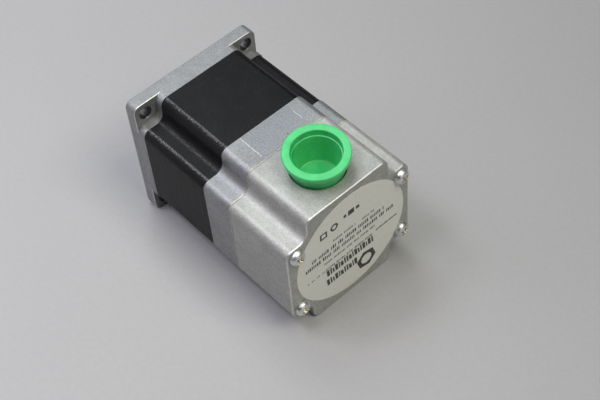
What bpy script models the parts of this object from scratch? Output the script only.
# Two-phase stepping motor, 56.4 mm square frame, with a cast rear conduit box.
# Units are metres. The motor lies on its side with the conduit port on top:
# +X runs along the motor axis towards the output shaft, +Z is up.
# The origin is the centre of the bounding box in plan, on the resting plane.
# Motor coordinates (used for every location below the "motor_axis" empty) have
# their origin on the motor axis, in the plane of the rear cover face.
import math

import bmesh
import bpy
from mathutils import Euler, Matrix, Vector

MM = 0.001

# ------------------------------------------------------------ driving sizes
FRAME_HALF = 28.2          # half of the 56.4 mm square frame
GAP = 0.3                  # clearance kept between touching pieces
NOTCH = 18.75              # distance from the axis to each corner notch wall
NOTCH_OUT_R = 3.0          # outside fillet where a notch meets a side
NOTCH_IN_R = 3.8           # inside fillet at the bottom of a notch

BOX_X0, BOX_X1 = 0.0, 28.62          # conduit box casting
GASKET_X0, GASKET_X1 = 28.87, 29.42  # paper gasket
REAR_X0, REAR_X1 = 29.67, 42.85      # rear end bell
STACK_X0, STACK_X1 = 43.15, 75.81    # stator laminations
FRONT_X0 = 76.11                     # front end bell body
PLATE_X0, PLATE_X1 = 79.26, 84.42    # square mounting flange
PILOT_X1 = 86.02                     # pilot register end
PILOT_R = 19.05
PLATE_CORNER_R = 3.4
MOUNT_HOLE = 23.57                   # mounting hole offset (47.14 mm square)
MOUNT_HOLE_R = 2.6

SHAFT_X0, SHAFT_X1 = 31.6, 105.02
SHAFT_R = 3.175                      # 6.35 mm output shaft
JOURNAL_R = 4.0
BODY_R = 5.2
SHAFT_FLAT = 2.70                    # height of the flat above the axis
SHAFT_FLAT_X0 = 90.0

BORE_R = 15.2                        # stator tooth tips
YOKE_R = 23.2                        # slot bottom
SHOE_R = 17.4
TOOTH_DEPTH = 0.8
TOOTH_PITCH = 7.2                    # degrees, 50 rotor teeth
POLES = 8
POLE_HALF = 2.6
ROTOR_R = 14.85

COVER_SCREW_Y, COVER_SCREW_Z = 24.2, 14.9
TIE_Y, TIE_Z = 14.4, 23.4
SCREW_R = 1.75
SCREW_HOLE_R = 2.05

BEARING_W = 7.0
REAR_BEARING_X = 35.5                # mid planes
FRONT_BEARING_X = 80.95
SEAT_R = 11.15

PORT_X, PORT_Z = 14.65, FRAME_HALF
PORT_R = 9.95
PORT_BOSS_R = 13.2
PORT_BOSS_Z = 19.2
PLUG_TILT_X, PLUG_TILT_Y = -0.062, 0.048   # slope of the plug axis off +Z

BOARD_X0, BOARD_X1 = 22.5, 24.5
POST_Y = 17.5

LABEL_R = 25.3

X_MID = 0.5 * (SHAFT_X1 - 2.4)       # screw heads stand 2.4 mm behind the cover

# ------------------------------------------------------------ clean scene
for old in list(bpy.data.objects):
    bpy.data.objects.remove(old, do_unlink=True)

scene = bpy.context.scene
parts = bpy.data.collections.new("stepper_motor")
cutters = bpy.data.collections.new("cutters")
scene.collection.children.link(parts)
scene.collection.children.link(cutters)


# ------------------------------------------------------------ materials
def material(name, color, rough, metal):
    m = bpy.data.materials.new(name)
    m.use_nodes = True
    b = m.node_tree.nodes["Principled BSDF"]
    b.inputs["Base Color"].default_value = (*color, 1.0)
    b.inputs["Roughness"].default_value = rough
    b.inputs["Metallic"].default_value = metal
    m.diffuse_color = (*color, 1.0)
    return m


CAST = material("cast_aluminium", (0.58, 0.57, 0.54), 0.42, 1.0)
STACK = material("stator_black", (0.018, 0.018, 0.02), 0.45, 0.0)
ZINC = material("zinc_steel", (0.62, 0.63, 0.64), 0.25, 1.0)
GROUND = material("shaft_steel", (0.60, 0.60, 0.60), 0.22, 1.0)
BEARING = material("bearing_steel", (0.66, 0.66, 0.67), 0.15, 1.0)
IRON = material("rotor_iron", (0.20, 0.20, 0.21), 0.45, 1.0)
MAGNET = material("magnet_grey", (0.10, 0.10, 0.11), 0.5, 0.3)
COPPER = material("copper_winding", (0.48, 0.20, 0.09), 0.35, 0.9)
NYLON = material("insulator_nylon", (0.75, 0.73, 0.66), 0.5, 0.0)
PLUG = material("plug_green", (0.05, 0.62, 0.21), 0.4, 0.0)
LABEL = material("label_stock", (0.62, 0.62, 0.58), 0.5, 0.0)
GASKET = material("gasket_paper", (0.45, 0.38, 0.22), 0.8, 0.0)
BOARD = material("board_phenolic", (0.16, 0.09, 0.05), 0.5, 0.0)
BRASS = material("terminal_brass", (0.66, 0.50, 0.22), 0.3, 1.0)
EARTH = material("earth_screw_green", (0.03, 0.30, 0.08), 0.4, 0.6)
LEADS = [
    material("lead_red", (0.55, 0.03, 0.02), 0.45, 0.0),
    material("lead_yellow", (0.70, 0.55, 0.05), 0.45, 0.0),
    material("lead_black", (0.02, 0.02, 0.02), 0.45, 0.0),
    material("lead_orange", (0.70, 0.22, 0.03), 0.45, 0.0),
]

# ------------------------------------------------------------ placement
motor_axis = bpy.data.objects.new("motor_axis", None)
motor_axis.location = (-X_MID * MM, 0.0, FRAME_HALF * MM)
parts.objects.link(motor_axis)

rotor_axis = bpy.data.objects.new("rotor_axis", None)
rotor_axis.parent = motor_axis
parts.objects.link(rotor_axis)

port_axis = bpy.data.objects.new("port_axis", None)
port_axis.parent = motor_axis
port_axis.location = (PORT_X * MM, 0.0, PORT_Z * MM)
port_axis.rotation_mode = "QUATERNION"
port_axis.rotation_quaternion = Vector((PLUG_TILT_X, PLUG_TILT_Y, 1.0)).to_track_quat("Z", "Y")
parts.objects.link(port_axis)

ALONG_X = (0.0, math.pi / 2, 0.0)            # local Z points along +X
PLATE_X = (math.pi / 2, 0.0, math.pi / 2)    # local XY plane becomes YZ, local Z is +X


def place(ob, parent=motor_axis, loc=(0, 0, 0), rot=(0, 0, 0), mat=None, coll=parts):
    coll.objects.link(ob)
    ob.parent = parent
    ob.location = tuple(c * MM for c in loc)
    ob.rotation_euler = rot
    if mat is not None:
        ob.data.materials.clear()
        ob.data.materials.append(mat)
    if coll is cutters:
        ob.hide_render = True
        ob.display_type = "WIRE"
    return ob


def smooth(mesh, angle=32.0):
    mesh.shade_smooth()
    mesh.set_sharp_from_angle(angle=math.radians(angle))


# ------------------------------------------------------------ outlines (mm)
def circle(r, n, cy=0.0, cz=0.0, phase=0.0):
    return [(cy + r * math.cos(phase + 2 * math.pi * i / n),
             cz + r * math.sin(phase + 2 * math.pi * i / n)) for i in range(n)]


def mirror4(quadrant):
    """Closed counter-clockwise outline from the points of the first quadrant,
    which run from the +Z side round to the +Y side."""
    q = quadrant
    out = [(y, z) for y, z in reversed(q)]
    out += [(-y, z) for y, z in q]
    out += [(-y, -z) for y, z in reversed(q)]
    out += [(y, -z) for y, z in q]
    clean = []
    for p in out:
        if not clean or math.dist(p, clean[-1]) > 1e-6:
            clean.append(p)
    if math.dist(clean[0], clean[-1]) < 1e-6:
        clean.pop()
    return clean


def notched(half=FRAME_HALF, notch=NOTCH, r_out=NOTCH_OUT_R, r_in=NOTCH_IN_R, n=4):
    q = []
    for i in range(n + 1):
        t = 0.5 * math.pi * i / n
        q.append((notch - r_out + r_out * math.sin(t), half - r_out + r_out * math.cos(t)))
    for i in range(n + 1):
        t = 0.5 * math.pi * i / n
        q.append((notch + r_in - r_in * math.cos(t), notch + r_in - r_in * math.sin(t)))
    for i in range(n + 1):
        t = 0.5 * math.pi * i / n
        q.append((half - r_out + r_out * math.sin(t), notch - r_out + r_out * math.cos(t)))
    return mirror4(q)


def rounded_square(half, r, n=4):
    q = []
    for i in range(n + 1):
        t = 0.5 * math.pi * i / n
        q.append((half - r + r * math.sin(t), half - r + r * math.cos(t)))
    return mirror4(q)


def rounded_rect(hx, hy, r, n=3):
    q = []
    for i in range(n + 1):
        t = 0.5 * math.pi * i / n
        q.append((hx - r + r * math.sin(t), hy - r + r * math.cos(t)))
    return mirror4(q)


def polar(r, deg):
    return (r * math.cos(math.radians(deg)), r * math.sin(math.radians(deg)))


# ------------------------------------------------------------ shape makers
def mesh_object(name, bm):
    me = bpy.data.meshes.new(name)
    bm.to_mesh(me)
    bm.free()
    return bpy.data.objects.new(name, me)


def plate_mesh(name, loops, thick):
    """Mesh of a flat outline with holes, from a filled 2D curve."""
    cu = bpy.data.curves.new(name + "_outline", "CURVE")
    cu.dimensions = "2D"
    cu.fill_mode = "BOTH"
    cu.extrude = 0.5 * thick * MM
    for loop in loops:
        sp = cu.splines.new("POLY")
        sp.points.add(len(loop) - 1)
        for p, (u, v) in zip(sp.points, loop):
            p.co = (u * MM, v * MM, 0.0, 1.0)
        sp.use_cyclic_u = True
    tmp = bpy.data.objects.new(name + "_outline", cu)
    scene.collection.objects.link(tmp)
    bpy.context.view_layer.update()
    dg = bpy.context.evaluated_depsgraph_get()
    me = bpy.data.meshes.new_from_object(tmp.evaluated_get(dg))
    bpy.data.objects.remove(tmp, do_unlink=True)
    bpy.data.curves.remove(cu)
    bm = bmesh.new()
    bm.from_mesh(me)
    bmesh.ops.remove_doubles(bm, verts=bm.verts, dist=1e-6)
    bmesh.ops.recalc_face_normals(bm, faces=bm.faces)
    bm.to_mesh(me)
    bm.free()
    me.name = name
    return me


def plate(name, loops, x0, x1, mat, coll=parts, parent=motor_axis):
    me = plate_mesh(name, loops, x1 - x0)
    ob = bpy.data.objects.new(name, me)
    place(ob, parent, (0.5 * (x0 + x1), 0, 0), PLATE_X, mat, coll)
    smooth(me)
    return ob


def block(name, outline, x0, x1, mat, coll=parts, chamfer_low=0.0, chamfer_high=0.0):
    """Solid extrusion of one outline from x0 to x1, with edge chamfers at either end."""
    bm = bmesh.new()
    vs = [bm.verts.new((u * MM, v * MM, 0.0)) for u, v in outline]
    face = bm.faces.new(vs)
    ext = bmesh.ops.extrude_face_region(bm, geom=[face])
    top = [g for g in ext["geom"] if isinstance(g, bmesh.types.BMVert)]
    bmesh.ops.translate(bm, verts=top, vec=(0.0, 0.0, (x1 - x0) * MM))
    bmesh.ops.recalc_face_normals(bm, faces=bm.faces)
    for width, level in ((chamfer_low, 0.0), (chamfer_high, (x1 - x0) * MM)):
        if width > 0.0:
            rim = [e for e in bm.edges
                   if all(abs(v.co.z - level) < 1e-7 for v in e.verts)]
            bmesh.ops.bevel(bm, geom=rim, offset=width * MM, segments=1,
                            affect="EDGES", clamp_overlap=True)
    ob = mesh_object(name, bm)
    place(ob, motor_axis, (x0, 0, 0), PLATE_X, mat, coll)
    smooth(ob.data)
    return ob


def turned(name, profile, steps, mat=None, loc=(0, 0, 0), rot=ALONG_X, parent=motor_axis,
           coll=parts, closed=False):
    """Solid of revolution about local Z; profile is (radius, height) in mm."""
    bm = bmesh.new()
    vs = [bm.verts.new((r * MM, 0.0, z * MM)) for r, z in profile]
    for a, b in zip(vs, vs[1:]):
        bm.edges.new((a, b))
    if closed:
        bm.edges.new((vs[-1], vs[0]))
    ob = mesh_object(name, bm)
    place(ob, parent, loc, rot, mat, coll)
    sc = ob.modifiers.new("Screw", "SCREW")
    sc.axis = "Z"
    sc.angle = 2 * math.pi
    sc.steps = steps
    sc.render_steps = steps
    sc.use_merge_vertices = True
    sc.merge_threshold = 0.00001
    sc.use_smooth_shade = True
    return ob


def rod_set(name, rods, coll=cutters, mat=None, parent=motor_axis, segments=16):
    """One object holding separate round bars: (centre, radius, length, axis letter)."""
    bm = bmesh.new()
    for centre, radius, length, axis in rods:
        rot = {"X": Matrix.Rotation(math.pi / 2, 4, "Y"),
               "Y": Matrix.Rotation(math.pi / 2, 4, "X"),
               "Z": Matrix.Identity(4)}[axis]
        mat4 = Matrix.Translation(Vector(centre) * MM) @ rot
        bmesh.ops.create_cone(bm, cap_ends=True, cap_tris=False, segments=segments,
                              radius1=radius * MM, radius2=radius * MM,
                              depth=length * MM, matrix=mat4)
    return place(mesh_object(name, bm), parent, (0, 0, 0), (0, 0, 0), mat, coll)


def box_set(name, boxes, coll=cutters, mat=None, parent=motor_axis, loc=(0, 0, 0), rot=(0, 0, 0)):
    """One object holding separate boxes: (low corner, high corner, spin about local Z)."""
    bm = bmesh.new()
    for low, high, spin in boxes:
        lo, hi = Vector(low) * MM, Vector(high) * MM
        size = hi - lo
        m = (Matrix.Rotation(spin, 4, "Z") @ Matrix.Translation((lo + hi) / 2)
             @ Matrix.Diagonal((*size, 1.0)))
        bmesh.ops.create_cube(bm, size=1.0, matrix=m)
    return place(mesh_object(name, bm), parent, loc, rot, mat, coll)


def cut(ob, cutter, operation="DIFFERENCE"):
    m = ob.modifiers.new(operation.title(), "BOOLEAN")
    m.operation = operation
    m.object = cutter
    m.solver = "EXACT"
    return ob


def four(y, z):
    return [(y, z), (-y, z), (-y, -z), (y, -z)]


# ------------------------------------------------------------ conduit box
def cross_cavity():
    """Inside outline of the box: a cross that leaves bosses for the cover screws."""
    return mirror4([(16.0, 25.6), (16.0, 16.1), (19.8, 16.1), (19.8, 10.4), (25.6, 10.4)])


box = block("conduit_box", notched(), BOX_X0, BOX_X1, CAST, chamfer_low=0.8)
cut(box, block("box_cavity_cut", cross_cavity(), 3.0, BOX_X1 + 4.0, None, cutters))
cut(box, rod_set("port_boss_add", [((PORT_X, 0, 0.5 * (PORT_BOSS_Z + 27.2)), PORT_BOSS_R,
                                    27.2 - PORT_BOSS_Z, "Z")], segments=32), "UNION")
cut(box, rod_set("ground_boss_add", [((PORT_X - 3.0, 0, -24.9), 4.0, 3.2, "Z")], segments=14),
    "UNION")
cut(box, turned("port_thread_cut", [(0, 12.0), (10.85, 12.0), (10.85, 0.35), (PORT_R, -0.6),
                                    (PORT_R, -14.0), (0, -14.0)], 32,
                loc=(PORT_X, 0, PORT_Z), rot=(0, 0, 0), coll=cutters))
cut(box, rod_set("cover_screw_bores", [((14.0, y, z), SCREW_HOLE_R, 32.0, "X")
                                       for y, z in four(COVER_SCREW_Y, COVER_SCREW_Z)], segments=12))
cut(box, rod_set("ground_screw_bore", [((PORT_X - 3.0, 0, -24.3), 1.7, 6.0, "Z")], segments=8))

# ------------------------------------------------------------ gasket
gasket_loops = [notched(FRAME_HALF - 0.25, NOTCH - 0.25, NOTCH_OUT_R, NOTCH_IN_R, 2),
                mirror4([(16.4, 25.2), (16.4, 16.5), (20.1, 16.5), (20.1, 10.0), (25.2, 10.0)])]
gasket_loops += [circle(SCREW_HOLE_R + 0.1, 8, y, z)
                 for y, z in four(COVER_SCREW_Y, COVER_SCREW_Z)]
plate("box_gasket", gasket_loops, GASKET_X0, GASKET_X1, GASKET)

# ------------------------------------------------------------ rear end bell
rear = block("rear_end_bell", notched(), REAR_X0, REAR_X1, CAST)
cut(rear, turned("rear_winding_cut", [(0, 8.0), (24.6, 8.0), (24.6, 0.0), (13.4, 0.0),
                                      (12.8, 1.0), (0, 1.0)], 32, loc=(38.0, 0, 0), coll=cutters))
cut(rear, turned("rear_pocket_cut", [(22.6, -6.0), (22.6, 4.7), (14.2, 4.7), (14.2, -6.0)][::-1],
                 32, loc=(REAR_X0, 0, 0), coll=cutters, closed=True))
cut(rear, turned("rear_seat_cut", [(0, 10.0), (SEAT_R, 10.0), (SEAT_R, 0.0), (0, 0.0)], 24,
                 loc=(30.9, 0, 0), coll=cutters))
cut(rear, rod_set("board_post_add", [((30.9, s * POST_Y, 0), 3.2, 12.2, "X") for s in (1, -1)],
                  segments=12), "UNION")
cut(rear, rod_set("tie_head_cut", [((30.0, y, z), 3.3, 5.4, "X") for y, z in four(TIE_Y, TIE_Z)],
                  segments=14))
cut(rear, rod_set("rear_tie_bore", [((38.0, y, z), SCREW_HOLE_R, 14.0, "X")
                                    for y, z in four(TIE_Y, TIE_Z)], segments=8))
cut(rear, rod_set("cover_tap_cut", [((32.2, y, z), SCREW_HOLE_R, 11.2, "X")
                                    for y, z in four(COVER_SCREW_Y, COVER_SCREW_Z)], segments=8))
cut(rear, rod_set("lead_hole_cut", [((36.0, s * 13.9, -13.9), 3.1, 8.0, "X") for s in (1, -1)],
                  segments=12))
cut(rear, rod_set("post_tap_cut", [((27.6, s * POST_Y, 0), 1.5, 8.0, "X") for s in (1, -1)],
                  segments=8))

# ------------------------------------------------------------ stator stack
def stator_inside():
    pts = []
    side = math.degrees(math.asin(POLE_HALF / YOKE_R))
    neck = math.degrees(math.asin(POLE_HALF / SHOE_R))
    tooth = 3.4
    for k in range(POLES):
        a = 360.0 / POLES * k
        # slot bottom before this pole
        for f in (-45.0 + side, -22.5, -side):
            pts.append(polar(YOKE_R, a + f))
        pts.append(polar(SHOE_R + 0.5, a - neck))
        half_span = 2 * TOOTH_PITCH + tooth / 2
        pts.append(polar(SHOE_R - 0.2, a - half_span))
        for i in range(-2, 3):
            c = a + i * TOOTH_PITCH
            if i > -2:
                pts.append(polar(BORE_R + TOOTH_DEPTH, c - tooth / 2 - 0.2))
            pts.append(polar(BORE_R, c - tooth / 2))
            pts.append(polar(BORE_R, c + tooth / 2))
            if i < 2:
                pts.append(polar(BORE_R + TOOTH_DEPTH, c + tooth / 2 + 0.2))
        pts.append(polar(SHOE_R - 0.2, a + half_span))
        pts.append(polar(SHOE_R + 0.5, a + neck))
    return pts


stack_loops = [notched(FRAME_HALF - 0.1, NOTCH - 0.1), stator_inside()]
stack_loops += [circle(SCREW_HOLE_R, 8, y, z) for y, z in four(TIE_Y, TIE_Z)]
plate("stator_stack", stack_loops, STACK_X0, STACK_X1, STACK)

# ------------------------------------------------------------ winding insulators
def insulator_inside():
    pts = []
    r_ring, r_lip, r_in = 22.9, 17.5, 15.7
    half = 2.6
    for k in range(POLES):
        a = 360.0 / POLES * k
        pts.append(polar(r_ring, a - 22.5))
        s = math.degrees(math.asin(half / r_ring))
        pts.append(polar(r_ring, a - s))
        pts.append(polar(r_lip, a - math.degrees(math.asin(half / r_lip))))
        pts.append(polar(r_lip, a - 14.0))
        for f in (-14.0, 0.0, 14.0):
            pts.append(polar(r_in, a + f))
        pts.append(polar(r_lip, a + 14.0))
        pts.append(polar(r_lip, a + math.degrees(math.asin(half / r_lip))))
        pts.append(polar(r_ring, a + s))
    return pts


for name, x0 in (("insulator_rear", STACK_X0 - GAP - 1.0), ("insulator_front", STACK_X1 + GAP)):
    plate(name, [circle(24.2, 32), insulator_inside()], x0, x0 + 1.0, NYLON)

# ------------------------------------------------------------ coils
COIL_MID_X = 0.5 * (STACK_X0 + STACK_X1)
COIL_U0, COIL_U1 = 17.8, 21.5
coil_mesh = plate_mesh("coil", [rounded_rect(21.15, 6.9, 3.2, 3), rounded_rect(17.9, 3.0, 1.0, 2)],
                       COIL_U1 - COIL_U0)
smooth(coil_mesh)
coil_mesh.materials.append(COPPER)
for k in range(POLES):
    ob = bpy.data.objects.new("coil_%d" % (k + 1), coil_mesh)
    parts.objects.link(ob)
    ob.parent = motor_axis
    ang = 2 * math.pi * k / POLES
    # local X runs along the motor axis, local Y sideways, local Z radially outwards
    radial = Vector((0.0, math.cos(ang), math.sin(ang)))
    ax = Vector((1.0, 0.0, 0.0))
    side = radial.cross(ax)
    m = Matrix((ax, side, radial)).transposed().to_4x4()
    m.translation = (ax * COIL_MID_X + radial * 0.5 * (COIL_U0 + COIL_U1)) * MM
    ob.matrix_local = m

# ------------------------------------------------------------ front end bell
front = block("front_end_bell", rounded_square(FRAME_HALF, PLATE_CORNER_R), PLATE_X0, PLATE_X1,
              CAST, chamfer_low=0.3, chamfer_high=0.4)
cut(front, block("front_body_add", notched(FRAME_HALF - 0.12, NOTCH - 0.06), FRONT_X0,
                 PLATE_X0 + 1.2, None, cutters), "UNION")
cut(front, turned("pilot_add", [(0, 2.6), (PILOT_R - 0.4, 2.6), (PILOT_R, 2.2), (PILOT_R, 0.0),
                                (0, 0.0)], 40, loc=(PILOT_X1 - 2.6, 0, 0), coll=cutters), "UNION")
cut(front, turned("front_winding_cut", [(0, 1.9), (12.7, 1.9), (12.7, 4.85), (24.6, 4.85),
                                        (24.6, -3.0), (0, -3.0)], 32, loc=(FRONT_X0, 0, 0),
                  coll=cutters))
cut(front, turned("front_seat_cut", [(0, 13.0), (4.6, 13.0), (4.6, 0.0), (SEAT_R, 0.0),
                                     (SEAT_R, -9.0), (0, -9.0)], 24,
                  loc=(FRONT_BEARING_X + 3.5 + GAP, 0, 0), coll=cutters))
cut(front, rod_set("front_tie_tap", [((78.8, y, z), SCREW_HOLE_R, 7.6, "X")
                                     for y, z in four(TIE_Y, TIE_Z)], segments=8))
cut(front, rod_set("mount_holes", [((82.0, y, z), MOUNT_HOLE_R, 12.0, "X")
                                   for y, z in four(MOUNT_HOLE, MOUNT_HOLE)], segments=18))

# ------------------------------------------------------------ conduit port plug
PLUG_H1 = 8.6        # flange top above the box
PLUG_PROFILE = [
    (0.0, -6.7), (7.5, -6.7), (8.35, 5.6), (8.75, 6.0), (8.85, PLUG_H1),
    (11.3, PLUG_H1), (11.7, PLUG_H1 - 0.5), (11.7, PLUG_H1 - 1.3), (11.4, PLUG_H1 - 1.7),
    (9.95, PLUG_H1 - 1.7), (9.5, 0.0), (8.75, -7.6), (8.3, -8.0), (0.0, -8.0)]
turned("port_plug", PLUG_PROFILE, 28, PLUG, rot=(0, 0, 0), parent=port_axis)

# ------------------------------------------------------------ rating label
turned("rating_label", [(0, 0.25), (LABEL_R, 0.25), (LABEL_R, 0.0), (0, 0.0)], 40, LABEL,
       loc=(-GAP - 0.25, 0, 0))

# ------------------------------------------------------------ screws
def cross_recess(name, r, depth, head_x, y, z, spin):
    """Cross-shaped driver recess: two crossed bars joined into one cutter."""
    w = 0.42
    a = box_set(name + "_recess", [((-r, -w, -1.0), (r, w, depth), spin)],
                loc=(head_x, y, z), rot=ALONG_X)
    b = box_set(name + "_recess_bar", [((-w, -r, -1.0), (w, r, depth + 0.02), spin)],
                loc=(head_x, y, z), rot=ALONG_X)
    return a, b


def pan_screw(name, x_seat, x_end, y, z, head_r, head_h, shank_r, mat, spin, segments=14,
              recess=True):
    """Pan-head screw along +X: head rear face at x_seat - head_h, tip at x_end."""
    length = x_end - x_seat
    prof = [(0.0, length), (shank_r - 0.4, length), (shank_r, length - 0.5), (shank_r, 0.0),
            (head_r, 0.0), (head_r, -0.45 * head_h), (0.82 * head_r, -0.82 * head_h),
            (0.45 * head_r, -head_h), (0.0, -head_h)]
    ob = turned(name, prof, segments, mat, loc=(x_seat, y, z))
    if recess:
        for c in cross_recess(name, 0.52 * head_r, 0.6 * head_h, x_seat - head_h, y, z, spin):
            cut(ob, c)
    return ob


for i, (y, z) in enumerate(four(COVER_SCREW_Y, COVER_SCREW_Z)):
    pan_screw("cover_screw_%d" % (i + 1), -GAP, 37.4, y, z, 3.2, 2.1, SCREW_R, ZINC,
              math.radians((38, 62, 20, 75)[i]))


def cap_screw(name, x_seat, x_end, y, z, head_r, head_h, shank_r, mat, segments=12):
    """Socket-head screw along +X with a hexagonal recess."""
    length = x_end - x_seat
    prof = [(0.0, length), (shank_r - 0.4, length), (shank_r, length - 0.5), (shank_r, 0.0),
            (head_r, 0.0), (head_r, -head_h + 0.3), (head_r - 0.3, -head_h), (0.0, -head_h)]
    ob = turned(name, prof, segments, mat, loc=(x_seat, y, z))
    return cut(ob, rod_set(name + "_hex", [((x_seat - head_h, y, z), 1.6, 3.0, "X")], segments=6))


for i, (y, z) in enumerate(four(TIE_Y, TIE_Z)):
    cap_screw("tie_bolt_%d" % (i + 1), 32.4, 82.1, y, z, 2.95, 2.4, SCREW_R, ZINC)

# ------------------------------------------------------------ rotor
shaft = turned("rotor_shaft",
               [(0.0, SHAFT_X1), (SHAFT_R - 0.5, SHAFT_X1), (SHAFT_R, SHAFT_X1 - 0.5),
                (SHAFT_R, 84.6), (JOURNAL_R, 84.6), (JOURNAL_R, 77.15), (BODY_R, 77.15),
                (BODY_R, 39.3), (JOURNAL_R, 39.3), (JOURNAL_R, SHAFT_X0 + 0.4),
                (JOURNAL_R - 0.4, SHAFT_X0), (0.0, SHAFT_X0)], 24, GROUND, parent=rotor_axis)
cut(shaft, box_set("shaft_flat_cut", [((SHAFT_FLAT_X0, -6.0, SHAFT_FLAT), (110.0, 6.0, 8.0), 0.0)]))


def rotor_outline(phase):
    pts = []
    for k in range(50):
        c = phase + k * TOOTH_PITCH
        pts += [polar(ROTOR_R - 0.75, c - 1.95), polar(ROTOR_R, c - 1.6),
                polar(ROTOR_R, c + 1.6), polar(ROTOR_R - 0.75, c + 1.95)]
    return pts


for name, x0, x1, phase in (("rotor_cup_rear", 44.0, 57.7, 0.0),
                            ("rotor_cup_front", 61.2, 74.9, 0.5 * TOOTH_PITCH)):
    plate(name, [rotor_outline(phase), circle(BODY_R + GAP + 0.1, 14)], x0, x1, IRON, parent=rotor_axis)
plate("rotor_magnet", [circle(12.0, 24), circle(BODY_R + GAP + 0.1, 14)], 58.0, 60.9, MAGNET,
      parent=rotor_axis)

# ------------------------------------------------------------ bearings
OUTER = [(10.85, 3.5), (10.85, -3.5), (9.1, -3.5), (9.1, -1.2), (9.6, 0.0), (9.1, 1.2), (9.1, 3.5)]
INNER = [(6.1, 3.5), (6.1, 1.2), (5.6, 0.0), (6.1, -1.2), (6.1, -3.5), (4.25, -3.5), (4.25, 3.5)]
BALL_R, PITCH_R, BALLS = 1.7, 7.6, 7


def ball_cage(name, x):
    ob = turned(name, [(8.15, 0.8), (8.15, -0.8), (7.05, -0.8), (7.05, 0.8)], 14, BEARING,
                loc=(x, 0, 0), closed=True)
    bm = bmesh.new()
    for k in range(BALLS):
        a = 2 * math.pi * k / BALLS
        bmesh.ops.create_icosphere(bm, subdivisions=2, radius=BALL_R * MM,
                                   matrix=Matrix.Translation((PITCH_R * math.cos(a) * MM,
                                                              PITCH_R * math.sin(a) * MM, 0.0)))
    balls = place(mesh_object(name + "_balls", bm), motor_axis, (x, 0, 0), ALONG_X, None, cutters)
    return cut(ob, balls, "UNION")


for end, x in (("rear", REAR_BEARING_X), ("front", FRONT_BEARING_X)):
    turned("bearing_outer_ring_" + end, OUTER, 22, BEARING, loc=(x, 0, 0), closed=True)
    turned("bearing_inner_ring_" + end, INNER, 20, BEARING, loc=(x, 0, 0), parent=rotor_axis,
           closed=True)
    ball_cage("ball_cage_" + end, x)

# preload washer: a thin ring waved three times round
washer_mesh = plate_mesh("wave_washer", [circle(10.6, 24), circle(9.0, 24)], 0.2)
for v in washer_mesh.vertices:
    v.co.z += 0.12 * MM * math.sin(3 * math.atan2(v.co.y, v.co.x))
place(bpy.data.objects.new("wave_washer", washer_mesh), motor_axis, (31.45, 0, 0), PLATE_X, ZINC)

# ------------------------------------------------------------ terminal board and its screws
TERMINALS = [(y, -2.5) for y in (-10.5, -3.5, 3.5, 10.5)]
board_loops = [rounded_rect(20.7, 9.6, 1.5, 2)]
board_loops += [circle(1.55, 8, y, z) for y, z in TERMINALS]
board_loops += [circle(1.75, 8, s * POST_Y, 0.0) for s in (1, -1)]
plate("terminal_board", board_loops, BOARD_X0, BOARD_X1, BOARD)


def slot_screw(name, x_seat, x_end, y, z, head_r, head_h, shank_r, mat, spin, segments=10):
    length = x_end - x_seat
    prof = [(0.0, length), (shank_r, length), (shank_r, 0.0), (head_r, 0.0),
            (head_r, -head_h + 0.3), (head_r - 0.4, -head_h), (0.0, -head_h)]
    ob = turned(name, prof, segments, mat, loc=(x_seat, y, z))
    return cut(ob, box_set(name + "_slot", [((-0.35, -5.0, -1.0), (0.35, 5.0, 0.6), spin)],
                           loc=(x_seat - head_h, y, z), rot=ALONG_X))


for i, (y, z) in enumerate(TERMINALS):
    slot_screw("terminal_screw_%d" % (i + 1), BOARD_X0 - GAP, 26.4, y, z, 2.4, 1.5, 1.2, BRASS,
               math.radians(20 + 37 * i))
for i, s in enumerate((1, -1)):
    slot_screw("board_screw_%d" % (i + 1), BOARD_X0 - GAP, 30.6, s * POST_Y, 0.0, 2.5, 1.6, 1.2,
               ZINC, math.radians(55 - 80 * i))

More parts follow.
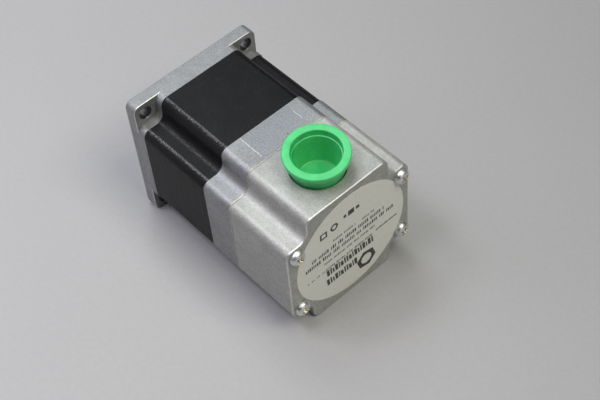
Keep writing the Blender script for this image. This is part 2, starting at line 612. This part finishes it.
earth = turned("ground_screw", [(0.0, 2.0), (2.3, 2.0), (3.0, 1.4), (3.0, 0.0), (1.4, 0.0),
                                (1.4, -3.4), (0.0, -3.4)], 12, EARTH,
               loc=(PORT_X - 3.0, 0, -23.3 + GAP), rot=(0, 0, 0))
cut(earth, box_set("ground_screw_slot", [((-0.4, -5.0, 1.2), (0.4, 5.0, 4.0), 0.5)],
                   loc=(PORT_X - 3.0, 0, -23.3 + GAP)))


# ------------------------------------------------------------ winding leads
def smooth_route(points, per_span):
    """Catmull-Rom samples through the route's own points."""
    p = [Vector(q) for q in points]
    p = [p[0] * 2 - p[1]] + p + [p[-1] * 2 - p[-2]]
    out = []
    for i in range(1, len(p) - 2):
        for j in range(per_span):
            t = j / per_span
            a, b, c, d = p[i - 1], p[i], p[i + 1], p[i + 2]
            out.append(0.5 * ((2 * b) + (c - a) * t + (2 * a - 5 * b + 4 * c - d) * t * t
                              + (3 * b - a - 3 * c + d) * t ** 3))
    out.append(p[-2])
    return out


def lead(name, points, radius, mat):
    cu = bpy.data.curves.new(name, "CURVE")
    cu.dimensions = "3D"
    cu.bevel_depth = radius * MM
    cu.bevel_resolution = 2
    cu.use_fill_caps = True
    route = smooth_route(points, 2)
    sp = cu.splines.new("POLY")
    sp.points.add(len(route) - 1)
    for pt, q in zip(sp.points, route):
        pt.co = (q.x * MM, q.y * MM, q.z * MM, 1.0)
    ob = bpy.data.objects.new(name, cu)
    cu.materials.append(mat)
    parts.objects.link(ob)
    ob.parent = motor_axis
    return ob


for i, (y_hole, y_term) in enumerate(((-15.0, -10.5), (-12.8, -3.5), (12.8, 3.5), (15.0, 10.5))):
    z_hole = -13.9 + (0.9 if i % 2 == 0 else -0.9)
    y_mid = 0.5 * (y_hole + y_term)
    lead("lead_%d" % (i + 1),
         [(37.8, y_hole, z_hole), (34.0, y_hole, z_hole), (30.0, y_hole, z_hole),
          (27.0, 0.7 * y_hole + 0.3 * y_term, -13.6), (24.0, y_mid, -12.4),
          (21.4, 0.3 * y_hole + 0.7 * y_term, -10.9), (21.4, y_term, -5.9)],
         0.7, LEADS[i])
